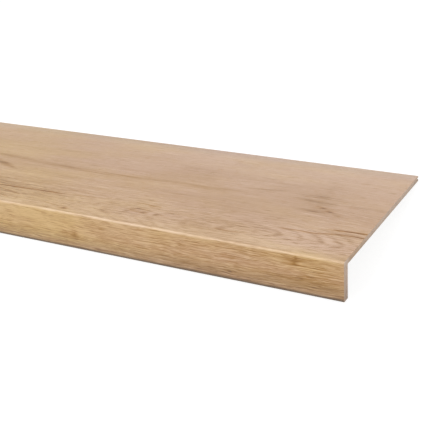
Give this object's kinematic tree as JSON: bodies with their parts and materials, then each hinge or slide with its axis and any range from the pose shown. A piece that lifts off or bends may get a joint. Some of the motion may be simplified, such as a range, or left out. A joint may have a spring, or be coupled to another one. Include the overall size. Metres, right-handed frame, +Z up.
{
  "type": "renovation stair tread",
  "caption": "Long thin oak-look board whose front edge turns down into a thicker nose, glued over a worn stair step; the back edge is grooved.",
  "frame": {"origin": "on the floor, at the middle of the tread's length and of the space it takes up from front to back", "axes": "+X along the nose, +Y from the nose to the back edge, +Z up. The tread lies unheld on a level floor, walking surface up, on the heel of its nose and the lower edge of its back, so the walking surface slopes down to the back by 9.495 degrees. To seat it on a level step, turn it about +X by +9.495 degrees."},
  "size_m": [1, 0.3048, 0.0568],
  "materials": {
    "laminated_board": "satin"
  },
  "bodies": {
    "root": {"tread": "laminated_board"}
  },
  "joints": []
}
